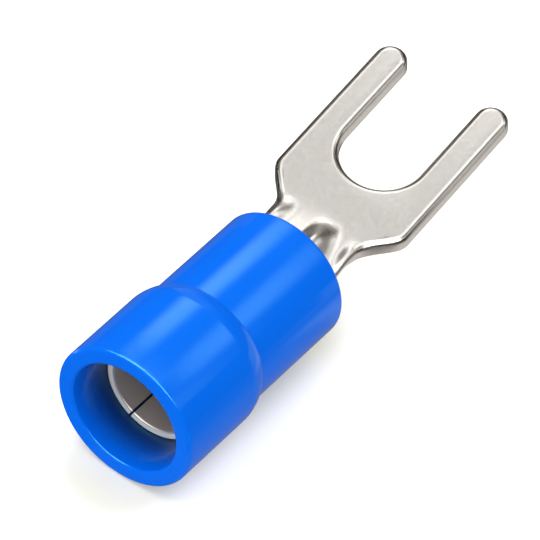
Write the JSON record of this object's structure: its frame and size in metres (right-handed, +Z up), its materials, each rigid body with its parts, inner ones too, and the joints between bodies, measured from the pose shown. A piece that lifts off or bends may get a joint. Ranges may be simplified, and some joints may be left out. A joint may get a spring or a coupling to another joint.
{
  "type": "fork terminal",
  "caption": "Insulated crimp fork terminal: a stamped metal fork with a rolled split barrel, held in a moulded plastic sleeve with a wider wire entry.",
  "frame": {"origin": "on the barrel's axis, at the barrel's wire end", "axes": "+X along the barrel towards the fork, +Z up on the side of the fork's upper face, +Y to the left"},
  "size_m": [0.0188, 0.0058, 0.0056],
  "materials": {
    "tin_plate": "satin tin plate",
    "blue_vinyl": "glossy moulded"
  },
  "bodies": {
    "root": {"terminal": "tin_plate", "sleeve": "blue_vinyl"}
  },
  "joints": []
}
